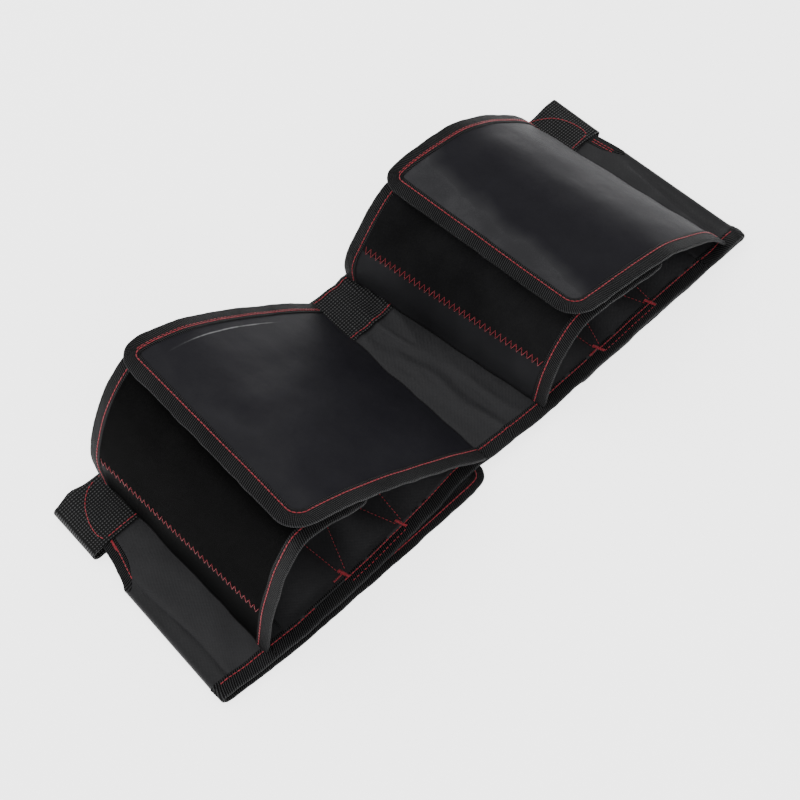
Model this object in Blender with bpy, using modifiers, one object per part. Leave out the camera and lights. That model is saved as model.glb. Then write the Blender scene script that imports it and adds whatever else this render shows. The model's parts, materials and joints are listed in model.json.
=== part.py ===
"""Electrician's tool pouch: a folded two-bay strip with hook-and-loop tunnels over pleated pockets."""
import math

import bmesh
import bpy
from mathutils import Vector

MM = 0.001

# ---- driving dimensions, millimetres -------------------------------------------------------------
LENGTH = 520.0          # end fold to end fold
DEPTH = 205.0           # lower edge of the back flaps to webbing edge
UNDER_LIP = 5.0         # the back flaps show this much beyond the front layer
CORE_T = 2.2            # one padded fabric layer
TAPE_RISE = 0.9         # binding tape stands this far off each side of the layer
GAP = 0.3               # between touching pieces
WEB_W = 50.0            # webbing
WEB_T = 1.2
BIND_W = 12.0           # binding tape, folded width
SHELL_T = 1.8           # cover flap fabric
FLAP_BIND_T = 3.0
FLAP_BIND_W = 11.0
FLAP_CORNER_R = 24.0
BAND_T = 1.6            # loop band fabric
BAND_BIND_T = 2.6
BAND_BIND_W = 6.0
FOOT_STRIP = 36.0       # plain strip between a band's foot and its zigzag seam
HOOK_T = 1.0
FOLD_X = 12.0           # centre fold line
CENTRE_FOLD_PLAY = 2.0
CLEAR_PAST = 20.0                           # how far cutting shapes reach beyond the cloth
HOOK_LENGTH = 42.0
HOOK_IN = 20.0                              # hook tape, in from the edges and the free end

BACK_Z0 = WEB_T + GAP                       # underside of the back flap layer
BACK_Z1 = BACK_Z0 + CORE_T
FRONT_Z0 = BACK_Z1 + 2 * TAPE_RISE + 3 * GAP
FRONT_Z1 = FRONT_Z0 + CORE_T                # top face of the front layer
FOLD_R = (FRONT_Z1 - BACK_Z0) / 2           # outer radius of each end fold
FOLD_Z = (FRONT_Z1 + BACK_Z0) / 2
FOLD_AXIS_X = LENGTH / 2 - FOLD_R
SEAM_Z = FRONT_Z1 + WEB_T + FLAP_BIND_T / 2 + 2 * GAP   # hinge height of sewn-on flaps and bands

Y_TOP = DEPTH / 2
Y_LOW = -DEPTH / 2 + UNDER_LIP              # lower edge of the front layer
WEB_Y0 = Y_TOP - WEB_W
CLOTH_TOP = Y_TOP - 2.0                     # the webbing hides the fabric's top edge
BACK_Y0 = -DEPTH / 2
ARCH_Y0 = Y_LOW + 3.0
ARCH_Y1 = Y_TOP - 3.0
NOTCH_Y = 14.5                              # the end folds stop here and the corner notch starts
NOTCH_MID_Y = 34.5
NOTCH_STEP = 3.0                            # how far the notch cuts in at its middle
NOTCH_DEPTH = 5.0                           # and at the webbing
BACK_NOTCH = (                              # notch of a back flap, in from the fold, by height
    (30.0, CLOTH_TOP), (14.0, CLOTH_TOP - 10.0), (7.0, 72.5), (NOTCH_DEPTH, WEB_Y0), (NOTCH_STEP, 32.5),
    (0.0, NOTCH_Y),
)
LOOP_LEG = 7.0                              # webbing loop legs reach this far in from the fold axis
TAIL_PLAY = 1.0                             # room for a tail's end to swing clear of the loop
BACK_FREE = {"left": -17.0, "right": 81.0}  # free ends of the folded-under flaps
BACK_CORNER_R = 26.0
CORNER_R = 30.0                             # bound upper corners under the webbing

# Arch profiles as (x, z) at the lower edge and at the webbing edge, from the seam outwards.
COVER = {
    "left": (
        [(-9.6, SEAM_Z), (-37, 35), (-79, 71.5), (-113, 97), (-136, 111), (-153, 119), (-167, 121.5)],
        [(-9.6, SEAM_Z), (-37, 40), (-79, 78.5), (-112, 106), (-135, 119), (-152, 123), (-165, 122)],
    ),
    "right": (
        [(246.5, SEAM_Z), (228, 35), (193, 59.5), (164, 71), (133, 78), (106, 82.5), (84, 86)],
        [(227.5, SEAM_Z), (211, 37), (179, 65.5), (152, 81.5), (122, 87.5), (96, 89), (73, 85.5)],
    ),
}
BAND = {
    "left": (
        [(-216, SEAM_Z), (-204, 44), (-193, 67), (-179, 89), (-163, 104), (-144, 102), (-120, 91.5), (-104, 85)],
        [(-217.5, SEAM_Z), (-215, 43), (-204, 68), (-189, 90), (-169, 108), (-153, 113), (-130, 106), (-108, 92)],
    ),
    "right": (
        [(50, SEAM_Z), (60, 36.5), (72, 55), (90, 70), (110, 73.5), (134, 68.5), (158, 63), (179, 59)],
        [(30, SEAM_Z), (30.5, 30), (42, 46), (58, 62), (76, 75), (98, 79), (130, 73), (160, 61)],
    ),
}
POCKET_X = {"left": (-199.0, -29.0), "right": (60.0, 221.0)}
TACK_X = {"left": (-141.0, -86.7), "right": (113.2, 168.4)}
TACK_L = 7.0
TACK_W = 2.2
TACK_T = 0.7
POCKET_Y0 = Y_LOW + BIND_W + 1.5
POCKET_Y1 = 42.5
POCKET_T = 1.0
POCKET_RISE = 9.5
PLEAT_Y = -55.5                             # the pleats stop widening here
PLEAT_OUT = 4.0
PLEAT_IN = 13.0

SIDES = ("left", "right")
COLORS = {
    "oxford": ((0.045, 0.047, 0.052), 0.82),
    "coated": ((0.030, 0.032, 0.038), 0.55),
    "velvet": ((0.010, 0.010, 0.012), 0.95),
    "satin": ((0.020, 0.020, 0.023), 0.45),
    "webbing": ((0.028, 0.028, 0.031), 0.75),
    "binding": ((0.022, 0.022, 0.024), 0.80),
    "hook": ((0.012, 0.012, 0.014), 0.60),
    "thread": ((0.55, 0.03, 0.05), 0.55),
}


def clear_scene():
    for obj in list(bpy.data.objects):
        bpy.data.objects.remove(obj, do_unlink=True)


def make_collection(name):
    col = bpy.data.collections.new(name)
    bpy.context.scene.collection.children.link(col)
    return col


def new_material(name, base):
    color, rough = COLORS[base]
    mat = bpy.data.materials.new(name)
    mat.use_nodes = True
    bsdf = mat.node_tree.nodes["Principled BSDF"]
    bsdf.inputs["Base Color"].default_value = (*color, 1.0)
    bsdf.inputs["Roughness"].default_value = rough
    bsdf.inputs["Metallic"].default_value = 0.0
    return mat


def add_empty(name, x, y, z):
    obj = bpy.data.objects.new(name, None)
    obj.location = (x * MM, y * MM, z * MM)
    obj.empty_display_size = 0.02
    PARTS.objects.link(obj)
    return obj


def finish(obj, base, parent):
    """Put a world-placed object in the parts collection under its body's empty."""
    for col in list(obj.users_collection):
        col.objects.unlink(obj)
    PARTS.objects.link(obj)
    obj.data.materials.clear()
    obj.data.materials.append(new_material(obj.name + "_mat", base))
    obj.parent = parent
    obj.matrix_parent_inverse = parent.matrix_basis.inverted()
    return obj


def mesh_object(name, verts, faces, base, parent, smooth=True):
    mesh = bpy.data.meshes.new(name)
    mesh.from_pydata([Vector(v) * MM for v in verts], [], faces)
    mesh.update()
    for poly in mesh.polygons:
        poly.use_smooth = smooth
    return finish(bpy.data.objects.new(name, mesh), base, parent)


def thicken(obj, thickness):
    mod = obj.modifiers.new("thickness", "SOLIDIFY")
    mod.thickness = thickness * MM
    mod.offset = 0.0
    mod.use_even_offset = True
    return obj


def soften(obj, width):
    mod = obj.modifiers.new("soft_edge", "BEVEL")
    mod.width = width * MM
    mod.segments = 2
    mod.limit_method = "ANGLE"
    mod.angle_limit = math.radians(50)
    return obj


def box(name, x0, x1, y0, y1, z0, z1, base, parent, bevel=0.3):
    mesh = bpy.data.meshes.new(name)
    bm = bmesh.new()
    bmesh.ops.create_cube(bm, size=1.0)
    size = Vector((x1 - x0, y1 - y0, z1 - z0)) * MM
    centre = Vector((x0 + x1, y0 + y1, z0 + z1)) * MM / 2
    for vert in bm.verts:
        vert.co = Vector(a * b for a, b in zip(vert.co, size))
    bm.to_mesh(mesh)
    bm.free()
    obj = bpy.data.objects.new(name, mesh)
    obj.location = centre
    finish(obj, base, parent)
    if bevel:
        soften(obj, bevel)
    return obj


def outline_solid(name, points, z0, z1, base, parent):
    """A flat outline in plan, extruded from z0 to z1."""
    curve = bpy.data.curves.new(name, "CURVE")
    curve.dimensions = "2D"
    curve.fill_mode = "BOTH"
    curve.extrude = (z1 - z0) / 2 * MM
    spline = curve.splines.new("POLY")
    spline.points.add(len(points) - 1)
    for slot, (x, y) in zip(spline.points, points):
        slot.co = (x * MM, y * MM, 0.0, 1.0)
    spline.use_cyclic_u = True
    obj = bpy.data.objects.new(name, curve)
    bpy.context.scene.collection.objects.link(obj)
    bpy.context.view_layer.update()
    mesh = bpy.data.meshes.new_from_object(obj.evaluated_get(bpy.context.evaluated_depsgraph_get()))
    bpy.data.objects.remove(obj, do_unlink=True)
    bpy.data.curves.remove(curve)
    bm = bmesh.new()
    bm.from_mesh(mesh)
    bmesh.ops.remove_doubles(bm, verts=bm.verts, dist=1e-6)
    bmesh.ops.recalc_face_normals(bm, faces=bm.faces)
    bm.to_mesh(mesh)
    bm.free()
    solid = bpy.data.objects.new(name, mesh)
    solid.location = (0.0, 0.0, (z0 + z1) / 2 * MM)
    return finish(solid, base, parent)


def profile_solid(name, points, y0, y1, base, parent):
    """An outline in x and z, extruded from y0 to y1."""
    count = len(points)
    verts = [(x, y0, z) for x, z in points] + [(x, y1, z) for x, z in points]
    faces = [tuple(range(count - 1, -1, -1)), tuple(range(count, 2 * count))]
    for i in range(count):
        j = (i + 1) % count
        faces.append((i, j, count + j, count + i))
    obj = mesh_object(name, verts, faces, base, parent, smooth=False)
    bm = bmesh.new()
    bm.from_mesh(obj.data)
    bmesh.ops.recalc_face_normals(bm, faces=bm.faces)
    bm.to_mesh(obj.data)
    bm.free()
    return obj


def cut_away(obj, cutter):
    mod = obj.modifiers.new("notch", "BOOLEAN")
    mod.operation = "DIFFERENCE"
    mod.solver = "EXACT"
    mod.object = cutter
    for col in list(cutter.users_collection):
        col.objects.unlink(cutter)
    CUTTERS.objects.link(cutter)
    cutter.hide_render = True
    cutter.display_type = "WIRE"


def catmull(points, t):
    """A smooth curve through the points, with t running from 0 to 1."""
    spans = len(points) - 1
    i = min(int(t * spans), spans - 1)
    f = t * spans - i
    p1 = Vector(points[i])
    p2 = Vector(points[i + 1])
    p0 = Vector(points[i - 1]) if i > 0 else 2 * p1 - p2
    p3 = Vector(points[i + 2]) if i + 2 <= spans else 2 * p2 - p1
    return 0.5 * (2 * p1 + (p2 - p0) * f + (2 * p0 - 5 * p1 + 4 * p2 - p3) * f * f
                  + (3 * p1 - p0 - 3 * p2 + p3) * f ** 3)


class Arch:
    """A curved sheet between a profile at the lower edge and one at the webbing edge."""

    def __init__(self, near, far, fine=120):
        self.rows = []
        for points in (near, far):
            line = [catmull(points, i / fine) for i in range(fine + 1)]
            run = [0.0]
            for a, b in zip(line, line[1:]):
                run.append(run[-1] + (b - a).length)
            self.rows.append((line, run))
        self.length = (self.rows[0][1][-1] + self.rows[1][1][-1]) / 2

    def on_profile(self, row, share):
        line, run = self.rows[row]
        want = share * run[-1]
        hi = next((i for i, r in enumerate(run) if r >= want), len(run) - 1)
        hi = max(hi, 1)
        f = (want - run[hi - 1]) / (run[hi] - run[hi - 1])
        return line[hi - 1].lerp(line[hi], f)

    def point(self, s, y):
        share = s / self.length
        f = (y - ARCH_Y0) / (ARCH_Y1 - ARCH_Y0)
        x, z = self.on_profile(0, share).lerp(self.on_profile(1, share), f)
        return Vector((x, y, z))

    def offset(self, s, y, lift):
        """A point lifted off the sheet on the side away from the tunnel."""
        step = 0.5
        ds = self.point(min(s + step, self.length), y) - self.point(max(s - step, 0.0), y)
        dy = self.point(s, min(y + step, ARCH_Y1)) - self.point(s, max(y - step, ARCH_Y0))
        normal = ds.cross(dy).normalized()
        if self.rows[0][0][-1].x > self.rows[0][0][0].x:
            normal = -normal
        return self.point(s, y) - lift * normal


def stations(a, b, count):
    return [a + (b - a) * i / (count - 1) for i in range(count)]


def sheet(name, arch, s_values, y_span, lift, thickness, base, parent, rows=8):
    """A thickened patch of an arch; y_span gives the two edges at a distance s."""
    verts = []
    for s in s_values:
        lo, hi = y_span(s)
        verts += [arch.offset(s, y, lift) for y in stations(lo, hi, rows)]
    faces = []
    for i in range(len(s_values) - 1):
        for j in range(rows - 1):
            a = i * rows + j
            faces.append((a, a + 1, a + rows + 1, a + rows))
    return thicken(mesh_object(name, verts, faces, base, parent), thickness)


def strip(name, arch, outer, inner, thickness, base, parent):
    """A thickened ribbon between two lines of (s, y) points of the same count."""
    verts = [arch.offset(s, y, 0.0) for s, y in outer] + [arch.offset(s, y, 0.0) for s, y in inner]
    count = len(outer)
    faces = [(i, i + 1, count + i + 1, count + i) for i in range(count - 1)]
    return thicken(mesh_object(name, verts, faces, base, parent), thickness)


def round_end_line(length, radius, inset, plain=12, turn=6):
    """Runs along one side, round both free corners and back along the other side."""
    cx = length - radius
    r = radius - inset
    line = [(s, ARCH_Y0 + inset) for s in stations(0.0, cx, plain)]
    for i in range(1, turn + 1):
        a = math.pi / 2 * i / turn
        line.append((cx + r * math.sin(a), ARCH_Y0 + radius - r * math.cos(a)))
    line += [(length - inset, y) for y in stations(ARCH_Y0 + radius, ARCH_Y1 - radius, 7)[1:-1]]
    for i in range(turn + 1):
        a = math.pi / 2 * i / turn
        line.append((cx + r * math.cos(a), ARCH_Y1 - radius + r * math.sin(a)))
    line += [(s, ARCH_Y1 - inset) for s in stations(cx, 0.0, plain)[1:]]
    return line


def rounded_span(length, radius, inset):
    """The y limits at a distance s for a sheet with two rounded free corners."""
    cx = length - radius
    r = radius - inset

    def span(s):
        cut = 0.0
        if s > cx:
            cut = r - math.sqrt(max(r * r - (s - cx) ** 2, 0.0))
        return ARCH_Y0 + inset + cut, ARCH_Y1 - inset - cut
    return span


def sign(side):
    return -1.0 if side == "left" else 1.0


# ---- front layer -----------------------------------------------------------------------------------

def notch_line(side, inset):
    """Edge of the front layer from the end fold to its top edge, inset by a distance."""
    k = sign(side)
    edge = LENGTH / 2 - FOLD_R - 1.0
    points = [(edge - inset, NOTCH_Y), (edge - NOTCH_STEP - inset, NOTCH_MID_Y),
              (edge - NOTCH_DEPTH - inset, WEB_Y0)]
    cx = edge - NOTCH_DEPTH - CORNER_R
    cy = CLOTH_TOP - CORNER_R
    for i in range(7):
        a = math.pi / 2 * i / 6
        points.append((cx + (CORNER_R - inset) * math.cos(a), cy + (CORNER_R - inset) * math.sin(a)))
    return [(k * x, y) for x, y in points]


def front_panel(side, parent):
    k = sign(side)
    axis = FOLD_AXIS_X
    turn = [(axis + FOLD_R * math.sin(a), FOLD_Z + FOLD_R * math.cos(a))
            for a in (math.pi * i / 12 for i in range(13))]
    inner = [(axis - 1.4, BACK_Z0), (axis - 1.4, FRONT_Z0)]
    line = [(k * x, z) for x, z in turn + inner]
    mid = (FRONT_Z0 + FRONT_Z1) / 2
    half = CORE_T / 2
    if side == "left":
        nose = [(FOLD_X + half * math.cos(a), mid + half * math.sin(a))
                for a in (-math.pi / 2 + math.pi * i / 8 for i in range(9))]
    else:
        start = FOLD_X + half + GAP
        nose = [(start, FRONT_Z0), (start, FRONT_Z1)]
    panel = profile_solid(side + "_front_panel", line + nose, Y_LOW + BIND_W + GAP, CLOTH_TOP,
                          "oxford", parent)
    far = LENGTH / 2 + CLEAR_PAST
    edge = notch_line(side, BIND_W + GAP)
    top_x, top_y = edge[-1]
    ring = [(k * far, NOTCH_Y)] + edge + [(top_x - k * 1.0, Y_TOP + 10.0), (k * far, Y_TOP + 10.0)]
    cutter = outline_solid(side + "_notch_cut", ring, -10.0, 30.0, "oxford", parent)
    cut_away(panel, cutter)
    return panel


def corner_binding(side, parent):
    outer = notch_line(side, 0.0)
    inner = notch_line(side, BIND_W)
    k = sign(side)
    outer[0] = (outer[0][0], NOTCH_Y + GAP)
    inner[0] = (inner[0][0], NOTCH_Y + GAP)
    ring = outer + [(inner[-1][0], outer[-1][1])] + inner[::-1]
    unique = [p for i, p in enumerate(ring) if p != ring[i - 1]]
    return outline_solid(side + "_corner_binding", unique, FRONT_Z0 - TAPE_RISE, FRONT_Z1,
                         "binding", parent)


def lower_binding(side, parent):
    inner = FOLD_X if side == "left" else FOLD_X + CENTRE_FOLD_PLAY
    outer = sign(side) * (FOLD_AXIS_X - 1.4)
    x0, x1 = sorted((inner, outer))
    return box(side + "_lower_binding", x0, x1, Y_LOW, Y_LOW + BIND_W, FRONT_Z0 - TAPE_RISE,
               FRONT_Z1 + TAPE_RISE, "binding", parent, bevel=0.8)


def top_webbing(side, parent):
    inner = FOLD_X - GAP / 2 if side == "left" else FOLD_X + GAP / 2
    outer = sign(side) * (FOLD_AXIS_X - LOOP_LEG)
    x0, x1 = sorted((inner, outer))
    return box(side + "_top_webbing", x0, x1, WEB_Y0, Y_TOP, FRONT_Z1 + GAP, FRONT_Z1 + GAP + WEB_T,
               "webbing", parent)


def webbing_loop(side, parent):
    """The webbing turning round the open corner from the top face to the underside."""
    k = sign(side)
    axis = FOLD_AXIS_X
    r_in = FOLD_R + GAP
    r_out = r_in + WEB_T
    leg = axis - LOOP_LEG + GAP
    angles = [math.pi * i / 12 for i in range(13)]
    outer = [(axis + r_out * math.sin(a), FOLD_Z + r_out * math.cos(a)) for a in angles]
    inner = [(axis + r_in * math.sin(a), FOLD_Z + r_in * math.cos(a)) for a in angles]
    ring = [(leg, FOLD_Z + r_out)] + outer + [(leg, FOLD_Z - r_out), (leg, FOLD_Z - r_in)]
    ring += inner[::-1] + [(leg, FOLD_Z + r_in)]
    return profile_solid(side + "_webbing_loop", [(k * x, z) for x, z in ring], WEB_Y0, Y_TOP,
                         "webbing", parent)


# ---- pleated pockets -------------------------------------------------------------------------------

def pocket_edges(side, y):
    """Edges of the three pocket cells at a distance y, pinched together at the bar tacks."""
    x0, x1 = POCKET_X[side]
    t0, t1 = TACK_X[side]
    f = min(max((y - POCKET_Y0) / (PLEAT_Y - POCKET_Y0), 0.0), 1.0)
    return ((x0, t0 - 1.0 - PLEAT_OUT * f), (t0 + 1.0 + PLEAT_IN * f, t1 - 1.0 - PLEAT_IN * f),
            (t1 + 1.0 + PLEAT_OUT * f, x1))


def pocket_panel(side, parent):
    base_z = FRONT_Z1 + GAP + POCKET_T / 2
    cols = 10
    verts = []
    y_values = [POCKET_Y0, POCKET_Y0 + 6, POCKET_Y0 + 14, PLEAT_Y, -38.0, -12.0, 15.0, POCKET_Y1]
    for y in y_values:
        f = min((y - POCKET_Y0) / 40.0, 1.0)
        rise = POCKET_RISE * math.sin(f * math.pi / 2)
        for a, b in pocket_edges(side, y):
            for i in range(cols):
                u = i / (cols - 1)
                verts.append((a + (b - a) * u, y, base_z + rise * math.sin(math.pi * u)))
    count = 3 * cols
    faces = []
    for i in range(len(y_values) - 1):
        for j in range(count - 1):
            a = i * count + j
            faces.append((a, a + 1, a + count + 1, a + count))
    return thicken(mesh_object(side + "_pocket_panel", verts, faces, "oxford", parent), POCKET_T)


def pocket_mouth(side, parent):
    """A hem tape bound along the mouths of the three cells."""
    y0 = POCKET_Y1 + GAP
    y1 = y0 + 7.0
    base_z = FRONT_Z1 + GAP + POCKET_T / 2
    cols = 10
    verts = []
    for y in (y0, y1):
        for a, b in pocket_edges(side, POCKET_Y1):
            for i in range(cols):
                u = i / (cols - 1)
                verts.append((a + (b - a) * u, y, base_z + POCKET_RISE * math.sin(math.pi * u)))
    count = 3 * cols
    faces = [(j, j + 1, count + j + 1, count + j) for j in range(count - 1)]
    return thicken(mesh_object(side + "_pocket_hem", verts, faces, "binding", parent), POCKET_T)


def bar_tacks(side, parent):
    """Two dense thread bars that anchor the pleats."""
    z0 = FRONT_Z1 + TAPE_RISE + GAP
    y = Y_LOW + 9.0
    for i, x in enumerate(TACK_X[side], start=1):
        box(f"{side}_bar_tack_{i}", x - TACK_L / 2, x + TACK_L / 2, y - TACK_W / 2, y + TACK_W / 2,
            z0, z0 + TACK_T, "thread", parent, bevel=0.0)


# ---- folded-under flaps ----------------------------------------------------------------------------

def back_outline(side, inset):
    """Plan outline of a back flap: notched at the fold, rounded at its free lower corner."""
    k = sign(side)
    free = k * BACK_FREE[side]
    fold = FOLD_AXIS_X - FOLD_R - GAP
    y0 = BACK_Y0 + inset
    x_free = free + inset
    r = BACK_CORNER_R - inset
    points = [(fold, y0)]
    for i in range(7):
        a = math.pi / 2 * i / 6
        points.append((x_free + r - r * math.sin(a), y0 + r - r * math.cos(a)))
    points.append((x_free, CLOTH_TOP))
    points += [(fold - x, y) for x, y in BACK_NOTCH]
    return [(k * x, y) for x, y in points]


def back_flap(side, parent):
    return outline_solid(side + "_back_flap", back_outline(side, BIND_W + GAP), BACK_Z0, BACK_Z1,
                         "oxford", parent)


def back_binding(side, parent):
    """Tape bound along the lower edge, round the corner and up the free end."""
    outer = back_outline(side, 0.0)[:9]
    inner = back_outline(side, BIND_W)[:9]
    return outline_solid(side + "_back_binding", outer + inner[::-1], BACK_Z0 - TAPE_RISE,
                         BACK_Z1 + TAPE_RISE, "binding", parent)


def webbing_tail(side, parent):
    k = sign(side)
    free = k * BACK_FREE[side] + BIND_W + 4.0
    outer = FOLD_AXIS_X - LOOP_LEG - TAIL_PLAY
    x0, x1 = sorted((k * free, k * outer))
    return box(side + "_webbing_tail", x0, x1, WEB_Y0, Y_TOP, 0.0, WEB_T, "webbing", parent)


# ---- cover flaps and loop bands --------------------------------------------------------------------

def cover_flap(side, parent):
    arch = Arch(*COVER[side])
    length = arch.length
    inset = FLAP_BIND_W + GAP
    cx = length - FLAP_CORNER_R
    s_values = stations(0.0, cx, 14) + stations(cx, length - inset, 5)[1:]
    sheet(side + "_cover_flap", arch, s_values, rounded_span(length, FLAP_CORNER_R, inset), 0.0, SHELL_T,
          "coated", parent)
    strip(side + "_cover_binding", arch, round_end_line(length, FLAP_CORNER_R, 0.0),
          round_end_line(length, FLAP_CORNER_R, FLAP_BIND_W), FLAP_BIND_T, "binding", parent)


def hook_patch(side, parent):
    """Hook tape on the underside of a cover flap, where it meets the loop band."""
    arch = Arch(*COVER[side])
    length = arch.length
    lift = -(SHELL_T / 2 + GAP + HOOK_T / 2)
    end = length - HOOK_IN
    sheet(side + "_hook_patch", arch, stations(end - HOOK_LENGTH, end, 6),
          lambda s: (ARCH_Y0 + HOOK_IN, ARCH_Y1 - HOOK_IN), lift, HOOK_T, "hook", parent)


def loop_band(side, parent):
    arch = Arch(*BAND[side])
    length = arch.length
    inset = BAND_BIND_W + GAP

    def span(s):
        return ARCH_Y0 + inset, ARCH_Y1 - inset

    sheet(side + "_foot_strip", arch, stations(0.0, FOOT_STRIP, 5), span, 0.0, BAND_T, "satin", parent)
    sheet(side + "_loop_fabric", arch, stations(FOOT_STRIP + GAP, length, 20), span, 0.0, BAND_T,
          "velvet", parent)
    line = stations(0.0, length, 24)
    strip(side + "_band_binding_near", arch, [(s, ARCH_Y0) for s in line],
          [(s, ARCH_Y0 + BAND_BIND_W) for s in line], BAND_BIND_T, "binding", parent)
    strip(side + "_band_binding_far", arch, [(s, ARCH_Y1) for s in line],
          [(s, ARCH_Y1 - BAND_BIND_W) for s in line], BAND_BIND_T, "binding", parent)


# ---- assembly --------------------------------------------------------------------------------------

def build_side(side, panel_body):
    k = sign(side)
    front_panel(side, panel_body)
    lower_binding(side, panel_body)
    corner_binding(side, panel_body)
    top_webbing(side, panel_body)
    webbing_loop(side, panel_body)
    pocket_panel(side, panel_body)
    pocket_mouth(side, panel_body)
    bar_tacks(side, panel_body)
    back_body = add_empty(side + "_back_body", k * FOLD_AXIS_X, 0.0, FOLD_Z)
    back_flap(side, back_body)
    back_binding(side, back_body)
    webbing_tail(side, back_body)
    near, far = COVER[side]
    cover_body = add_empty(side + "_cover_body", (near[0][0] + far[0][0]) / 2, 0.0, SEAM_Z)
    cover_flap(side, cover_body)
    hook_patch(side, cover_body)
    near, far = BAND[side]
    band_body = add_empty(side + "_band_body", (near[0][0] + far[0][0]) / 2, 0.0, SEAM_Z)
    loop_band(side, band_body)


clear_scene()
PARTS = make_collection("electrician_tool_pouch")
CUTTERS = make_collection("cutters")
ROOT = add_empty("left_panel_body", 0.0, 0.0, 0.0)
RIGHT = add_empty("right_panel_body", FOLD_X, 0.0, (FRONT_Z0 + FRONT_Z1) / 2)
build_side("left", ROOT)
build_side("right", RIGHT)
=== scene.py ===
"""Looks for the electrician's tool pouch.

Sewn cloth, binding tape, webbing and red thread are built over the CAD frame. Lengths are in
millimetres until a mesh is made.
"""
import json
import math
import random

import bmesh
import bpy
import numpy as np
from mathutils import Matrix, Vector, noise


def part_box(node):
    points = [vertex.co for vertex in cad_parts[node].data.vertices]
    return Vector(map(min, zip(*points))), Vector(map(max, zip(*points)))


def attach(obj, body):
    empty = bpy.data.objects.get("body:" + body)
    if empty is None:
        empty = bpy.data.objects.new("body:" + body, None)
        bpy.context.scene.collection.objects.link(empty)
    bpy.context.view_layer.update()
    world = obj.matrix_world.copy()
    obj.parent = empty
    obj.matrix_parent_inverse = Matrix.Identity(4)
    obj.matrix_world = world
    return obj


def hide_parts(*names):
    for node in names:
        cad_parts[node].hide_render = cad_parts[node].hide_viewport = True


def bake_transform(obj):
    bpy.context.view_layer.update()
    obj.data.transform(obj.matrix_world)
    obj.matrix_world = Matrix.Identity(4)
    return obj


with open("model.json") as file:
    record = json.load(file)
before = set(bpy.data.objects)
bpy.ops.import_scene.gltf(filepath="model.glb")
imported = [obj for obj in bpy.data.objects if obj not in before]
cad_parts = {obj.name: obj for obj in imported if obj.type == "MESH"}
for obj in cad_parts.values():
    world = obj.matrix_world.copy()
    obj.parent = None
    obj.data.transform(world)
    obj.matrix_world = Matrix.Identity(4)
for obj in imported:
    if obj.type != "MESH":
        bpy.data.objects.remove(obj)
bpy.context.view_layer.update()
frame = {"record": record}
random.seed(7)

MM = 0.001
UV = 0.01                      # UV units per millimetre: one unit is 100 mm of cloth


def mm_box(node):
    lo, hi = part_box(node)
    return [c / MM for c in lo], [c / MM for c in hi]


# ---- layout read from the frame, millimetres ----
joint_at = {j["name"]: [c / MM for c in j["pos_m"]] for j in frame["record"]["behaviour"]["joints"]}
panel_hi = mm_box("left_front_panel")[1]
back_lo, back_hi = mm_box("left_back_flap")
web_lo, web_hi = mm_box("left_top_webbing")
cover_lo, cover_hi = mm_box("left_cover_binding")
FRONT_TOP = panel_hi[2]
CLOTH_T = back_hi[2] - back_lo[2]
FRONT_MID = FRONT_TOP - CLOTH_T / 2
BACK_MID = (back_lo[2] + back_hi[2]) / 2
FOLD_Z = (FRONT_MID + BACK_MID) / 2
FOLD_RM = (FRONT_MID - BACK_MID) / 2    # radius of a folded end's middle layer
AXIS_X = abs(joint_at["left_end_fold"][0])
Y_LOW = mm_box("left_lower_binding")[0][1]
Y_TOP = web_hi[1]
WEB_Y0 = web_lo[1]
WEB_T = web_hi[2] - web_lo[2]
CLOTH_TOP = panel_hi[1]
ARCH_Y0 = cover_lo[1] + 0.1
ARCH_Y1 = cover_hi[1] - 0.1
BIND_W = 13.0                   # how far an edge tape reaches in from the edge
# how far from the centre each end cloth meets the middle cloth, and where each back flap ends
SPLIT = {"left": 213.0, "right": 222.0}
FREE = {"left": -mm_box("left_back_binding")[1][0], "right": mm_box("right_back_binding")[0][0]}

# Profiles in (x, z) from the sewn root to the free end: at the lower edge, then at the webbing edge.
COVER = {
    "left": (
        [(-9.6, 9.6), (-37, 35), (-79, 71.5), (-113, 97), (-136, 111), (-153, 119), (-167, 121.5)],
        [(-9.6, 9.6), (-37, 40), (-79, 78.5), (-112, 105.5), (-135, 117), (-152, 121.5), (-166, 120.5)],
    ),
    "right": (
        [(246.5, 9.6), (228, 35), (193, 59.5), (164, 71), (133, 78), (106, 82.5), (84, 86)],
        [(227.5, 9.6), (211, 37), (179, 65.5), (152, 81.5), (122, 87.5), (96, 89), (73, 85.5)],
    ),
}
BAND = {
    "left": (
        [(-216, 9.6), (-204, 44), (-193, 67), (-179, 89), (-163, 104), (-144, 102), (-120, 91.5),
         (-104, 85)],
        [(-217.5, 9.6), (-215, 43), (-204, 68), (-189, 90), (-169, 108), (-153, 113), (-130, 106),
         (-108, 92)],
    ),
    "right": (
        [(50, 9.6), (60, 36.5), (72, 55), (90, 70), (110, 73.5), (134, 68.5), (158, 63), (179, 59)],
        [(27, 9.6), (28.5, 30), (41, 46), (58, 62), (76, 75), (98, 79), (130, 73), (160, 61)],
    ),
}


# ---- materials ----

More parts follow.
